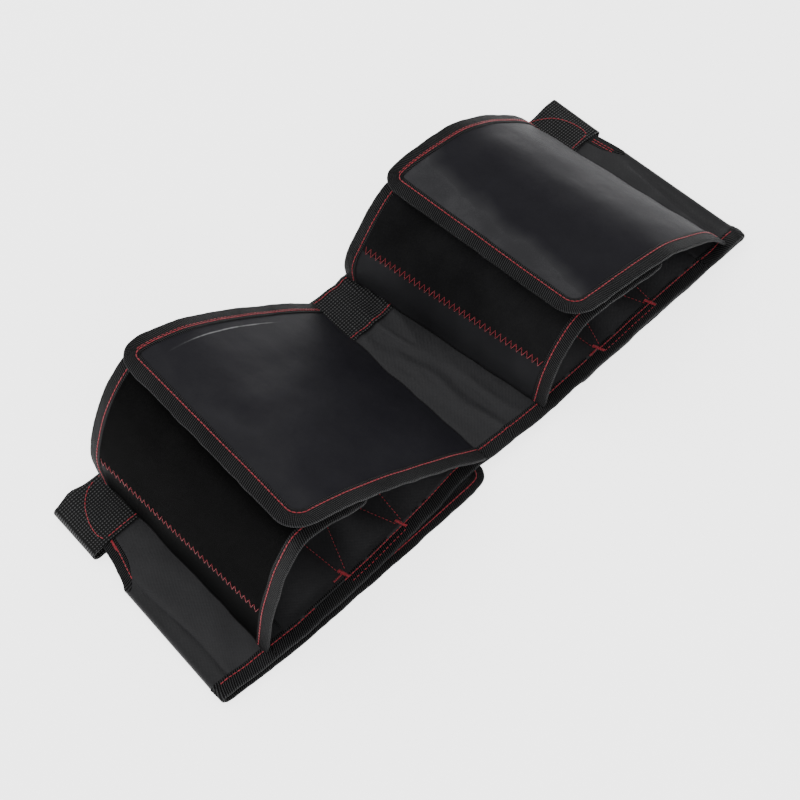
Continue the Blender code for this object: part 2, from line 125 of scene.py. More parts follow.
class Nodes:
    """Writes a procedural material as expressions. The UV sockets u and v count in 100 mm of cloth."""

    def __init__(self, name, rough, sheen=0.0, sheen_rough=0.5, specular=0.5):
        self.mat = bpy.data.materials.new(name)
        self.mat.use_nodes = True
        self.tree = self.mat.node_tree
        self.bsdf = self.tree.nodes["Principled BSDF"]
        self.bsdf.inputs["Roughness"].default_value = rough
        self.bsdf.inputs["Sheen Weight"].default_value = sheen
        self.bsdf.inputs["Sheen Roughness"].default_value = sheen_rough
        self.bsdf.inputs["Specular IOR Level"].default_value = specular
        uv = self.node("UVMap", {}).outputs["UV"]
        self.u, self.v = self.node("SeparateXYZ", {0: uv}).outputs[:2]
        self.obj = self.node("TexCoord", {}).outputs["Object"]

    def node(self, kind, inputs):
        """A new node: a number is set on its socket, and another node's output is linked to it."""
        node = self.tree.nodes.new("ShaderNode" + kind)
        for socket, value in inputs.items():
            if isinstance(value, (int, float)):
                node.inputs[socket].default_value = value
            else:
                self.tree.links.new(value, node.inputs[socket])
        return node

    def math(self, op, a, b=0.0, c=0.0):
        node = self.node("Math", {0: a, 1: b, 2: c})
        node.operation = op
        return node.outputs[0]

    def mul(self, a, b):
        return self.math("MULTIPLY", a, b)

    def sub(self, a, b):
        return self.math("SUBTRACT", a, b)

    def mad(self, a, b, c):
        """a times b, plus c."""
        return self.math("MULTIPLY_ADD", a, b, c)

    def clip(self, value):
        """Held between 0 and 1."""
        return self.math("MINIMUM", self.math("MAXIMUM", value, 0.0), 1.0)

    def wave(self, coord, pitch_mm):
        """A sine from 0 to 1 along a UV coordinate."""
        turned = self.mul(coord, 2 * math.pi / (pitch_mm * UV))
        return self.mad(self.math("SINE", turned), 0.5, 0.5)

    def noise(self, scale, detail=2.0, rough=0.5):
        inputs = {"Vector": self.obj, "Scale": scale, "Detail": detail, "Roughness": rough}
        return self.node("TexNoise", inputs).outputs["Fac"]

    def color(self, fac, stops, tone=1.0):
        """Colours the surface by a ramp of (place, colour) stops; tone scales how pale they are."""
        node = self.node("ValToRGB", {"Fac": fac})
        ramp = node.color_ramp
        while len(ramp.elements) < len(stops):
            ramp.elements.new(0.5)
        for element, (pos, color) in zip(ramp.elements, stops):
            element.position = pos
            element.color = (*(tone * c for c in color), 1.0)
        self.tree.links.new(node.outputs["Color"], self.bsdf.inputs["Base Color"])

    def rough(self, fac, low, high):
        node = self.node("MapRange", {"Value": fac, "To Min": low, "To Max": high})
        self.tree.links.new(node.outputs["Result"], self.bsdf.inputs["Roughness"])

    def bump(self, height, distance_mm, strength=1.0, under=None):
        node = self.node("Bump", {"Strength": strength, "Distance": distance_mm * MM, "Height": height})
        if under is not None:
            self.tree.links.new(under, node.inputs["Normal"])
        self.tree.links.new(node.outputs["Normal"], self.bsdf.inputs["Normal"])
        return node.outputs["Normal"]


def plain_weave(n, pitch):
    """Over-and-under threads: two crossed sines, one pushed up where the other goes down."""
    a = n.wave(n.u, pitch)
    b = n.wave(n.v, pitch)
    return n.math("ADD", n.mul(a, b), n.mul(n.sub(1.0, a), n.sub(1.0, b)))


def fold_shade_mask(n):
    """Mask for painted shade: 1 beside a folded end, where u is 0, and further in toward the lower edge; 0
    elsewhere.
    """
    spread = n.clip(n.mul(n.sub(0.1, n.v), 1.7))
    reach = n.mad(spread, 0.065, 0.065)
    reach = n.mad(n.noise(14.0, 2.0), 0.05, reach)
    inside = n.sub(reach, n.math("ABSOLUTE", n.u))
    return n.clip(n.mul(inside, 30.0))


def oxford_cloth(name, paint_fold_shade=False):
    """Woven Oxford with a faint sheen; on a folded end, shade is painted into the colour along its fold,
    darkening it a little.
    """
    n = Nodes(name, 0.62, sheen=0.05, sheen_rough=0.4, specular=0.26)
    weave = plain_weave(n, 1.5)
    cloud = n.noise(18.0, 3.0)
    grain = n.noise(900.0, 2.0)
    mix = n.mad(cloud, 0.55, n.mul(grain, 0.2))
    mix = n.mad(weave, 0.30, mix)
    if paint_fold_shade:
        # painted shade: the colour is darkened along the fold
        mix = n.mad(fold_shade_mask(n), -0.22, mix)
    n.color(mix, [(0.25, (0.0058, 0.0058, 0.0067)), (0.85, (0.0202, 0.0202, 0.0221))])
    n.rough(cloud, 0.48, 0.68)
    first = n.bump(n.noise(70.0, 4.0, 0.6), 1.2, 0.35)
    n.bump(weave, 0.22, 0.7, first)
    return n.mat


def crease_highlight_line(n):
    """A pale, broken line along a shallow arc near the webbing edge: a highlight along a crease, painted
    into the colour.
    """
    arc = n.mad(n.u, -0.0769, 0.153)
    arc = n.mad(arc, n.u, 0.722)
    off = n.math("ABSOLUTE", n.sub(n.v, arc))
    line = n.sub(1.0, n.math("MINIMUM", n.mul(off, 95.0), 1.0))
    along = n.mul(n.sub(n.u, 0.56), n.sub(1.68, n.u))
    along = n.clip(n.mul(along, 4.0))
    broken = n.mad(n.noise(120.0, 2.0), 1.2, -0.1)
    return n.mul(n.mul(line, along), broken)


def coated_cloth(name, sheen_zone_from, sheen_lightening, lean, crease_highlight=False):
    """Smooth coated cloth: a polished darker middle, and a rougher zone toward the free edge, its greyer
    colour painted sheen.
    The zone's start along the cloth and its painted sheen are given, and lean turns its border off square."""
    n = Nodes(name, 0.55, sheen=0.01, sheen_rough=0.35, specular=0.04)
    weave = plain_weave(n, 1.1)
    cloud = n.noise(9.0, 3.0, 0.55)
    # A zone toward the free edge: it is rougher, and its colour is lightened as painted sheen.
    drift = n.mad(cloud, 1.1, n.sub(n.u, sheen_zone_from))
    drift = n.mad(n.v, lean, drift)
    dull_and_sheen = n.clip(n.mul(drift, 5.0))
    patch = n.noise(26.0, 3.0, 0.6)
    grain = n.noise(1300.0, 3.0, 0.7)
    mix = n.mad(patch, 0.45, n.mul(grain, 0.30))
    # painted sheen: lighter, greyer colour in the zone
    mix = n.mad(dull_and_sheen, sheen_lightening, mix)
    # painted highlight: a pale line along a crease
    if crease_highlight:
        mix = n.mad(crease_highlight_line(n), 3.6, mix)
    mix = n.mul(mix, 0.5)
    n.color(mix, [(0.12, (0.0098, 0.0094, 0.0122)), (0.27, (0.0152, 0.0149, 0.0176)),
                  (0.50, (0.0290, 0.0288, 0.0310)), (1.0, (0.150, 0.150, 0.154))])
    n.rough(n.mad(dull_and_sheen, 0.5, n.mul(patch, 0.5)), 0.42, 0.68)
    first = n.bump(n.noise(28.0, 3.0, 0.5), 2.6, 0.35)
    second = n.bump(grain, 0.12, 0.5, first)
    n.bump(weave, 0.10, 0.5, second)
    return n.mat


def loop_pile(name, tone):
    """Matte fuzzy pile."""
    n = Nodes(name, 0.95, sheen=0.008, sheen_rough=0.6, specular=0.03)
    fuzz = n.noise(1400.0, 4.0, 0.8)
    patch = n.noise(25.0, 3.0)
    mix = n.mad(fuzz, 0.5, n.mul(patch, 0.5))
    n.color(mix, [(0.35, (0.0014, 0.0014, 0.0015)), (0.75, (0.0044, 0.0044, 0.0046))], tone)
    n.bump(fuzz, 0.7, 0.9)
    return n.mat


def satin_strip(name, tone):
    """Smooth tape with very fine ribs."""
    n = Nodes(name, 0.55, sheen=0.005, specular=0.03)
    ribs = n.wave(n.v, 0.9)
    cloud = n.noise(20.0, 2.0)
    n.color(cloud, [(0.3, (0.0030, 0.0030, 0.0033)), (0.8, (0.0068, 0.0068, 0.0074))], tone)
    n.bump(ribs, 0.08, 0.5)
    return n.mat


def binding_tape():
    """Grosgrain: fine ribs across the tape, leaning a little. The ribs are the tape's own; their strong
    light-dark contrast in colour is painted highlight on the cords and painted shade between them.
    """
    n = Nodes("ribbed_binding_tape", 0.66, sheen=0.01, sheen_rough=0.4, specular=0.06)
    slant = n.mad(n.v, 0.35, n.u)
    ribs = n.wave(slant, 1.6)
    cross = n.wave(n.v, 1.3)
    cloud = n.noise(35.0, 3.0)
    fuzz = n.noise(900.0, 2.0, 0.7)
    cords = n.mul(ribs, n.mad(cross, 0.45, 0.55))
    mix = n.mad(cloud, 0.20, n.mul(fuzz, 0.22))
    # painted highlight on the raised cords and painted shade between them
    mix = n.mad(cords, 0.62, mix)
    n.color(mix, [(0.24, (0.0005, 0.0005, 0.0006)), (0.47, (0.0092, 0.0093, 0.0098)),
                  (0.78, (0.0470, 0.0472, 0.0485))])
    n.bump(cords, 0.55, 1.0)
    return n.mat


def strap_webbing():
    """Coarse webbing: raised dots in a square grid; the grid is the webbing's own, and its pale dot tops and
    near-black gaps are painted highlight and painted shade.
    """
    n = Nodes("coarse_webbing", 0.60, sheen=0.03, sheen_rough=0.4, specular=0.14)
    dots = n.mul(n.wave(n.u, 2.3), n.wave(n.v, 2.3))
    cords = n.mul(n.wave(n.v, 2.3), 0.35)
    lattice = n.math("ADD", n.mul(dots, 0.75), cords)
    mix = n.mad(lattice, 0.80, n.mul(n.noise(40.0, 3.0), 0.20))
    # painted highlight on the dot tops and painted shade in the gaps
    n.color(mix, [(0.28, (0.0003, 0.0003, 0.0004)), (0.50, (0.0135, 0.0136, 0.0142)),
                  (0.80, (0.0740, 0.0745, 0.0760))])
    n.bump(lattice, 0.8, 1.0)
    return n.mat


def hook_tape():
    """Rows of stiff hooks."""
    n = Nodes("hook_tape", 0.75, specular=0.3)
    dots = n.mul(n.wave(n.u, 1.6), n.wave(n.v, 1.6))
    n.color(dots, [(0.1, (0.004, 0.004, 0.0045)), (0.8, (0.016, 0.016, 0.018))])
    n.bump(dots, 0.5, 1.0)
    return n.mat


def red_thread():
    """Twisted polyester."""
    n = Nodes("red_thread", 0.5, sheen=0.3, sheen_rough=0.4)
    twist = n.wave(n.mad(n.v, 1.2, n.u), 0.7)
    mix = n.mad(twist, 0.6, n.mul(n.noise(160.0, 2.0), 0.4))
    n.color(mix, [(0.1, (0.19, 0.002, 0.009)), (0.8, (0.44, 0.004, 0.022))])
    n.bump(twist, 0.12, 0.6)
    return n.mat


FLOOR_GLOW = 2.6


def studio_floor():
    """A pale floor that glows a little, so that it stays plain and nearly shadowless."""
    n = Nodes("pale_floor", 0.9, specular=0.1)
    n.color(n.noise(3.0, 2.0), [(0.0, (0.90, 0.90, 0.90)), (1.0, (0.93, 0.93, 0.93))])
    n.bsdf.inputs["Emission Color"].default_value = (1.0, 1.0, 1.0, 1.0)
    n.bsdf.inputs["Emission Strength"].default_value = FLOOR_GLOW
    return n.mat


M = {
    "oxford": oxford_cloth("woven_oxford"),
    # the folded ends' copy, with painted shade along the fold
    "oxford_painted_fold_shade": oxford_cloth("woven_oxford_painted_fold_shade", True),
    # Both covers have sheen painted as lighter colour toward the free edge; the left one also has a painted
    # highlight line.
    "left_cover": coated_cloth("coated_cover_cloth_painted_highlight", 2.02, 0.25, 0.0, True),
    "right_cover": coated_cloth("coated_cover_cloth", 1.93, 0.66, 0.28),
    # Lit and shaded copies: the left band's pile and satin are darkened as painted shade, and the right
    # band's are made paler as painted light, for how much light each band gets.
    "left_velvet": loop_pile("loop_pile", 0.6),
    "right_velvet": loop_pile("loop_pile_painted_light", 3.4),
    "left_satin": satin_strip("plain_satin", 0.2),
    "right_satin": satin_strip("plain_satin_painted_light", 3.2),
    "binding": binding_tape(),
    "webbing": strap_webbing(),
    "hook_tape": hook_tape(),
    "thread": red_thread(),
}


# ---- curved cloth surfaces: point(s, y) in millimetres ----

def rise(value, start, run):
    """0 up to start, then to 1 over the run."""
    return np.clip((value - start) / run, 0, 1)


def fall(value, end, run):
    """1 until the run before end, then down to 0."""
    return np.clip((end - value) / run, 0, 1)


def rumple(x, y, seed, scale):
    """Smooth noise, sampled point by point."""
    flat = [noise.noise(Vector((a / scale, b / scale, seed))) for a, b in zip(x.ravel(), y.ravel())]
    return np.array(flat).reshape(x.shape)


def run_along(path):
    return np.concatenate([[0], np.cumsum(np.linalg.norm(np.diff(path, axis=0), axis=1))])


def places_at(path, run, at):
    return np.stack([np.interp(at, run, path[:, i]) for i in range(2)], axis=1)


def catmull(points, count):
    """Evenly spaced points on a smooth curve through the control points."""
    pts = [np.array(p, float) for p in points]
    pts = [2 * pts[0] - pts[1]] + pts + [2 * pts[-1] - pts[-2]]
    line = []
    for i in range(1, len(pts) - 2):
        for f in np.linspace(0, 1, 24, endpoint=False):
            a, b, c, d = pts[i - 1:i + 3]
            line.append(0.5 * (2 * b + (c - a) * f + (2 * a - 5 * b + 4 * c - d) * f * f
                               + (3 * b - a - 3 * c + d) * f ** 3))
    line.append(pts[-2])
    line = np.array(line)
    run = run_along(line)
    return places_at(line, run, np.linspace(0, run[-1], count)), run[-1]


class Surface:
    """A cloth surface. at(s, y) gives points; s runs along the cloth and y across it."""

    def normal(self, s, y):
        e = 0.6
        ds = self.at(s + e, y) - self.at(s - e, y)
        dy = self.at(s, y + e) - self.at(s, y - e)
        n = np.cross(ds, dy)
        return self.flip * n / np.linalg.norm(n, axis=-1, keepdims=True)

    def lifted(self, s, y, lift):
        return self.at(s, y) + self.normal(s, y) * np.asarray(lift)[..., None]


PROFILE_POINTS = 240


class ArchSurface(Surface):
    """A sheet lofted between its profile at the lower edge and its profile at the webbing edge."""

    def __init__(self, near, far, seed, sway):
        self.rows = []
        lengths = []
        for points in (near, far):
            line, run = catmull(points, PROFILE_POINTS)
            self.rows.append(line)
            lengths.append(run)
        self.length = sum(lengths) / 2
        self.share = np.linspace(0, self.length, PROFILE_POINTS)
        self.seed = seed
        self.sway = sway
        self.flip = 1.0 if near[-1][0] > near[0][0] else -1.0

    def along(self, line, s):
        """One coordinate of a profile at s, carried on straight past either end."""
        over = s - np.clip(s, 0, self.length)
        slope = np.where(over < 0, line[2] - line[0], line[-1] - line[-3]) / (self.share[2] - self.share[0])
        return np.interp(s, self.share, line) + over * slope

    def at(self, s, y):
        s, y = np.broadcast_arrays(np.asarray(s, float), np.asarray(y, float))
        f = (y - ARCH_Y0) / (ARCH_Y1 - ARCH_Y0)
        out = np.zeros(s.shape + (3,))
        for axis, slot in ((0, 0), (1, 2)):
            lo, hi = (self.along(row[:, axis], s) for row in self.rows)
            out[..., slot] = lo + (hi - lo) * f
        out[..., 1] = y
        fade = np.clip(s / 30.0, 0, 1)
        root = 1.0 - np.clip(s / 42.0, 0, 1)
        out[..., 0] += root * 1.9 * rumple(y * 0, y, self.seed + 4, 26.0)
        sway = self.sway * fade * rumple(s, y, self.seed, 70.0)
        out[..., 2] += sway + 0.7 * fade * rumple(s, y, self.seed + 2, 24.0)
        out[..., 1] += 0.5 * fade * rumple(s, y * 0 + f * 10, self.seed + 9, 30.0)
        return out


# The cut-away corner: distances along the strip from the notch's centre, at heights up the cloth,
# then where its foot and centre are, and how far round the fold its stitching shows.
NOTCH_D = {
    "left": [0.0, 2.6, 4.8, 7.2, 9.2, 9.8, 10.0, 12.0, 17.0, 25.0, 36.0],
    "right": [0.0, 1.8, 3.2, 4.4, 5.4, 6.0, 6.6, 9.0, 14.0, 22.0, 33.0],
}
NOTCH_UP = [0.0, 3.5, 13.0, 24.0, 36.0, 46.0, 57.0, 67.0, 75.5, 81.5, 84.0]
NOTCH_BASE = {"left": 16.5, "right": 28.0}
NOTCH_S0 = {"left": 0.0, "right": 1.0}
NOTCH_SEEN = {"left": -2.4, "right": -1.2}
NOTCH_ROWS = {"left": (7.6,), "right": (5.6, 8.0)}
NOTCH_W = 11.0
NOTCH_HALF = 1.35
CORNER_LIFT = {"left": 0.6, "right": 2.6}   # how much fuller the lower corner of each fold stands
QUARTER = math.pi / 2 * FOLD_RM
FOLD_BEND = (6.0, 4.15)         # heights between which a folded end turns
BEND_CLEAR = 0.05
FOLD_REST = 2.0                 # past the fold's quarter turns, cloth is all front or all back
FRONT_EASE = 12.0               # past the fold, the front layer takes up its slack over this length
GAP_X = 14.0                    # the middle of the open stretch between the bays
# The lower edges of the front layer and of the back flaps, in y: as sewn, they wander along the strip.
LOW_X = [-262, -240, -216, -189, -120, -60, -33, -15, 0, 12, 26, 41, 56, 72, 120, 150, 200, 235, 262]
LOW_Y = [-97.5, -99.5, -101.5, -103.0, -101.5, -97.5, -94.5, -94.0, -95.8, -96.8, -97.6, -98.4, -98.6, -98.3,
         -98.3, -97.7, -97.9, -98.6, -98.2]
UNDER_X = [-262, -248, -236, -209, -183, -155, -127, -99, -71, -30, 60, 120, 200, 262]
UNDER_Y = [-98.5, -100.0, -101.0, -103.3, -104.2, -104.3, -104.6, -105.0, -105.0, -104.6, -97.0, -96.5,
           -96.3, -96.5]


class StripSurface(Surface):
    """The folded strip's middle layer. On an end, s is the distance past the fold's outermost line;
    negative s is the front layer and positive s the back flap. In the middle, s is plain x."""

    def __init__(self, side):
        self.side = side
        self.k = {"left": -1.0, "right": 1.0, "mid": 1.0}[side]
        self.flip = -1.0 if side == "left" else 1.0

    def lifted(self, s, y, lift):
        """Past the fold, the front layer stays above the heights that bend and the back flap below them."""
        out = super().lifted(s, y, lift)
        if self.side != "mid":
            z = out[..., 2]
            z = np.where(s < -QUARTER - FOLD_REST, np.maximum(z, FOLD_BEND[0] + BEND_CLEAR), z)
            out[..., 2] = np.where(s > QUARTER + FOLD_REST, np.minimum(z, FOLD_BEND[1] - BEND_CLEAR), z)
        return out

    def course(self, s):
        """x, z and the outward direction in x and z."""
        s = np.asarray(s, float)
        if self.side == "mid":
            return s, np.full(s.shape, FRONT_MID), np.zeros(s.shape), np.ones(s.shape)
        turn = np.clip(s, -QUARTER, QUARTER) / FOLD_RM
        straight = np.abs(s) - np.clip(np.abs(s), 0, QUARTER)
        x = AXIS_X + FOLD_RM * np.cos(turn) - straight
        z = FOLD_Z - FOLD_RM * np.sin(turn)
        return self.k * x, z, self.k * np.cos(turn), -np.sin(turn)

    def at(self, s, y):
        s, y = np.broadcast_arrays(np.asarray(s, float), np.asarray(y, float))
        x, z, nx, nz = self.course(s)
        lift = self.slack(x, y)
        if self.side != "mid":
            lift = fall(s, 0.0, FRONT_EASE) * (lift - self.settle(x, y)) + self.full_corner(s, x, y)
        return np.stack([x + lift * nx + self.skew(x, y), y, z + lift * nz], axis=-1)

    def slack(self, x, y):
        """The cloth's soft swell, its creases between the bays, and the waves near its folded ends."""
        soft = 0.5 + 0.5 * rumple(x, y, 3.1, 45.0) + 0.25 * rumple(x, y, 8.2, 14.0)
        crease = 1.0 - np.abs(rumple(x * 1.6 + y * 0.25, y * 0.35 - x * 0.3, 5.5, 19.0)) * 2.8
        gap = np.exp(-((x - GAP_X) / 20.0) ** 2)
        ends = rise(np.abs(x), 216.0, 14.0) * fall(np.abs(x), 250.0, 14.0)
        waves = ends * 2.4 * rumple(x * 0.7, y, 11.0, 22.0)
        return soft + gap * 1.4 * np.clip(crease, -0.6, 1.0) + waves

    def settle(self, x, y):
        """How far the front layer sinks toward its fold, and into a crease that wanders beside it."""
        roll = 2.0 * rise(np.abs(x), 245.0, 11.0) ** 2
        line = 250.5 - 6.0 * fall(y, 10.0, 60.0) + 1.8 * rumple(x * 0, y, 17.0, 30.0)
        span = rise(y, -95.0, 12.0) * fall(y, 16.0, 8.0)
        return roll + 0.9 * span * np.exp(-((np.abs(x) - line) / 1.7) ** 2)

    def full_corner(self, s, x, y):
        full = fall(y, -80.0, 14.0) * rise(np.abs(x), 226.0, 20.0)
        return CORNER_LIFT[self.side] * full * fall(s, QUARTER, 2 * QUARTER)

    def skew(self, x, y):
        """The folded ends aren't cut quite square."""
        if self.side == "mid":
            return 0.0
        grow = rise(np.abs(x), SPLIT[self.side] + 2.0, 26.0)
        toward = fall(y, 60.0, 157.0)
        corner = fall(y, -82.0, 18.0) ** 2
        if self.side == "left":
            return -grow * (1.6 * toward - 1.6 * corner)
        return grow * (1.4 + 3.4 * toward - 3.4 * corner)

    def low(self, s):
        x = self.course(s)[0]
        front = np.interp(x, LOW_X, LOW_Y)
        if self.side == "mid":
            return front
        under = np.interp(x, UNDER_X, UNDER_Y)
        f = np.clip((np.asarray(s, float) + 6.0) / 12.0, 0, 1)
        f = f * f * (3 - 2 * f)
        return front + (under - front) * f

    def high(self, s):
        x = self.course(s)[0]
        if self.side == "mid":
            return np.full(np.shape(x), CLOTH_TOP)
        from_notch = np.abs(np.asarray(s, float) - NOTCH_S0[self.side])
        return np.interp(from_notch, NOTCH_D[self.side], self.notch_y())

    def notch_y(self):
        base = NOTCH_BASE[self.side]
        return [base + up * (CLOTH_TOP - base) / NOTCH_UP[-1] for up in NOTCH_UP]

    def station(self, x):
        """The s of a place on the front layer."""
        return -(AXIS_X - abs(x) + QUARTER)


# ---- mesh builders ----

def to_object(name, verts, faces, uvs, material, caps=0):
    """verts and uvs are in mm, one (u, v) for each vertex; the last few faces are caps, shaded flat."""
    mesh = bpy.data.meshes.new(name)
    mesh.from_pydata((np.asarray(verts) * MM).tolist(), [], faces)
    layer = mesh.uv_layers.new(name="UVMap")
    uvs = np.asarray(uvs) * UV
    loops = np.zeros(len(mesh.loops), dtype=np.int32)
    mesh.loops.foreach_get("vertex_index", loops)
    layer.data.foreach_set("uv", uvs[loops].astype(np.float32).ravel())
    mesh.polygons.foreach_set("use_smooth", [i < len(faces) - caps for i in range(len(faces))])
    mesh.materials.append(material)
    mesh.update()
    bm = bmesh.new()
    bm.from_mesh(mesh)
    bmesh.ops.recalc_face_normals(bm, faces=bm.faces)
    bm.to_mesh(mesh)
    bm.free()
    obj = bpy.data.objects.new(name, mesh)
    bpy.context.scene.collection.objects.link(obj)
    return obj


def grid_faces(rows, cols):
    corners = [i * cols + j for i in range(rows - 1) for j in range(cols - 1)]
    return [(c, c + 1, c + cols + 1, c + cols) for c in corners]


def tube_faces(rows, cols, start=0):
    """The wall of a tube of rings, then its two end caps."""
    faces = []
    for i in range(rows - 1):
        for j in range(cols):
            a = start + i * cols + j
            b = start + i * cols + (j + 1) % cols
            faces.append((a, b, b + cols, a + cols))
    faces.append(tuple(start + j for j in reversed(range(cols))))
    faces.append(tuple(start + (rows - 1) * cols + j for j in range(cols)))
    return faces


def shell(name, surface, s, y, thickness, slot_name, lift=0.0, look=None, apart=0.0):
    """A closed thin sheet over a grid of (s, y), centred at a lift off the surface.
    apart moves the underside's UVs, so that a mark on top isn't on both faces."""
    rows, cols = s.shape
    top = surface.lifted(s, y, lift + thickness / 2 * np.ones(s.shape)).reshape(-1, 3)
    under = surface.lifted(s, y, lift - thickness / 2 * np.ones(s.shape)).reshape(-1, 3)
    count = rows * cols
    faces = grid_faces(rows, cols)
    faces += [tuple(count + i for i in reversed(f)) for f in faces]
    ring = [j for j in range(cols)] + [i * cols + cols - 1 for i in range(1, rows)]
    ring += [(rows - 1) * cols + j for j in range(cols - 2, -1, -1)]
    ring += [i * cols for i in range(rows - 2, 0, -1)]
    for a, b in zip(ring, ring[1:] + ring[:1]):
        faces.append((b, a, count + a, count + b))
    uvs = np.stack([s.ravel(), y.ravel()], axis=1)
    uvs = np.concatenate([uvs, uvs + (0.0, apart)])
    return to_object(name, np.concatenate([top, under]), faces, uvs, M[look or slot_name])


def resample(path, step):
    """Evenly spaced points along a polyline of (s, y)."""
    path = np.asarray(path, float)
    run = run_along(path)
    count = max(int(round(run[-1] / step)) + 1, 3)
    at = np.linspace(0, run[-1], count)
    return places_at(path, run, at), at


def inward_of(path, side):
    """Unit directions in (s, y), pointing off the path to its left (side 1) or right (side -1)."""
    d = np.gradient(path, axis=0)
    d /= np.maximum(np.linalg.norm(d, axis=1, keepdims=True), 1e-9)
    smooth = d.copy()
    for _ in range(2):
        smooth[1:-1] = (smooth[:-2] + smooth[1:-1] * 2 + smooth[2:]) / 4
    smooth /= np.linalg.norm(smooth, axis=1, keepdims=True)
    return side * np.stack([-smooth[:, 1], smooth[:, 0]], axis=1)


def tape(name, surface, path, side, width, half, seed, step=2.0, drop=1.0, waist=0.0):
    """Binding tape folded over a cloth edge; the path is the outer edge in (s, y). half is its half
    thickness, drop scales that on its underside, and waist narrows the middle of its run."""
    path, run = resample(path, step)
    inward = inward_of(path, side)
    w = width
    section = [(w, 0.40), (w - 0.25, 0.86), (w - 0.9, 1.0), (w - 2.1, 1.0), (w - 3.0, 0.80), (w - 3.9, 1.0),
               (w * 0.45, 1.03), (2.2, 1.02), (0.8, 0.86), (0.1, 0.45)]
    section = section + [(b, -n * drop) for b, n in reversed(section)]
    place = surface.at(path[:, 0], path[:, 1])
    across = place[:, 1] + place[:, 2]
    wobble = 0.7 * rumple(place[:, 0], across, seed, 17.0) + 0.3 * rumple(place[:, 0], across, seed + 3, 5.0)
    puff = 0.10 * rumple(place[:, 0], across, seed + 7, 4.0)
    narrow = 1.0 - waist * np.exp(-((run - run[-1] / 2) / 10.0) ** 2)
    verts = []
    uvs = []
    v = 0.0
    for i, (b, n) in enumerate(section):
        if i:
            v += math.hypot(b - section[i - 1][0], (n - section[i - 1][1]) * half)
        depth = b * narrow + wobble * (1.0 if b < w / 2 else 0.6)
        s = path[:, 0] + inward[:, 0] * depth
        y = path[:, 1] + inward[:, 1] * depth
        verts.append(surface.lifted(s, y, half * n * (1.0 + puff)))
        uvs.append(np.stack([run, np.full(run.shape, v)], axis=1))
    faces = tube_faces(len(path), len(section))
    verts = np.stack(verts, axis=1).reshape(-1, 3)
    uvs = np.stack(uvs, axis=1).reshape(-1, 2)
    return to_object(name, verts, faces, uvs, M["binding"], caps=2)


THREAD_SIDES = 6
THREAD_R = 0.40
FINE_R = 0.30
ZIGZAG_R = 0.18
STITCH = 3.0                    # length of a stitch, and the distance from one to the next
PITCH = 3.35
JITTER = 0.12                   # how far a stitch may stray from its line
SUNK = 0.12                     # how far its ends sink into the cloth


class Sewing:
    """Collects stitches for one thread object."""

    def __init__(self, name):
        self.name = name
        self.verts = []
        self.faces = []
        self.uvs = []

    def lay(self, surface, s, y, lift, radius, bow=0.25):
        """One stitch through places on a surface: a short flattened capsule, bowed up off the cloth."""
        points = surface.lifted(s, y, np.full(len(s), lift))
        normals = surface.normal(s, y)
        count = len(points)
        t = np.linspace(0, 1, count)
        tangent = np.gradient(points, axis=0)
        tangent /= np.linalg.norm(tangent, axis=1, keepdims=True)
        side = np.cross(normals, tangent)
        side /= np.linalg.norm(side, axis=1, keepdims=True)
        swell = radius * np.clip(np.sqrt(np.maximum(np.sin(np.pi * (0.08 + 0.84 * t)), 0)), 0.35, 1)
        self.faces += tube_faces(count, THREAD_SIDES, len(self.verts))
        for i in range(count):
            centre = points[i] + normals[i] * (bow * math.sin(math.pi * t[i]) - SUNK)
            for j in range(THREAD_SIDES):
                a = 2 * math.pi * j / THREAD_SIDES
                self.verts.append(centre + side[i] * math.cos(a) * swell[i]
                                  + normals[i] * math.sin(a) * swell[i] * 0.8)
                self.uvs.append((t[i] * STITCH, j * 0.4))

    def row(self, surface, path, lift, inset=0.0, side=1, pitch=PITCH, length=STITCH, radius=THREAD_R):
        """A running line of stitches, inset from a path."""
        path, run = resample(path, 0.8)
        if inset:
            path = path + inward_of(path, side) * inset
            run = run_along(path)
        total = run[-1]
        at = 0.5
        while at + length < total:
            span = np.linspace(at, at + length * random.uniform(0.94, 1.04), 4)
            off = random.uniform(-JITTER, JITTER)
            s = np.interp(span, run, path[:, 0])
            y = np.interp(span, run, path[:, 1])
            tilt = np.array([off, -off * 0.4, -off * 0.2, off * 0.6])
            d = np.array([s[-1] - s[0], y[-1] - y[0]])
            d /= max(np.linalg.norm(d), 1e-9)
            s = s - d[1] * tilt
            y = y + d[0] * tilt
            self.lay(surface, s, y, lift, radius)
            at += pitch

    def zigzag(self, surface, path, lift, width, pitch):
        path, run = resample(path, 0.8)
        inward = inward_of(path, 1)
        count = int(run[-1] / pitch)
        for i in range(count):
            for a, b, f0, f1 in ((-1, 1, 0.0, 0.5), (1, -1, 0.5, 1.0)):
                span = np.linspace((i + f0) * pitch, (i + f1) * pitch, 4)
                off = np.linspace(a, b, 4) * width / 2
                s = np.interp(span, run, path[:, 0]) + np.interp(span, run, inward[:, 0]) * off
                y = np.interp(span, run, path[:, 1]) + np.interp(span, run, inward[:, 1]) * off
                self.lay(surface, s, y, lift, ZIGZAG_R, 0.10)

    def tack(self, surface, a, b, width, lift):
        """A bar tack: dense zigzag between two (s, y) points."""
        a = np.array(a, float)
        b = np.array(b, float)
        d = (b - a) / np.linalg.norm(b - a)
        n = np.array([-d[1], d[0]])
        count = max(int(np.linalg.norm(b - a) / 0.8), 4)
        for i in range(count):
            f = i / (count - 1)
            c = a + (b - a) * f
            w = width / 2 * random.uniform(0.8, 1.1)
            p0 = c - n * w
            p1 = c + n * w + d * 0.4
            s = np.linspace(p0[0], p1[0], 4)
            y = np.linspace(p0[1], p1[1], 4)
            self.lay(surface, s, y, lift, THREAD_R, 0.3)

    def build(self):
        verts = np.array(self.verts)
        return to_object(self.name, verts, self.faces, np.array(self.uvs), M["thread"])


# ---- the folded strip ----

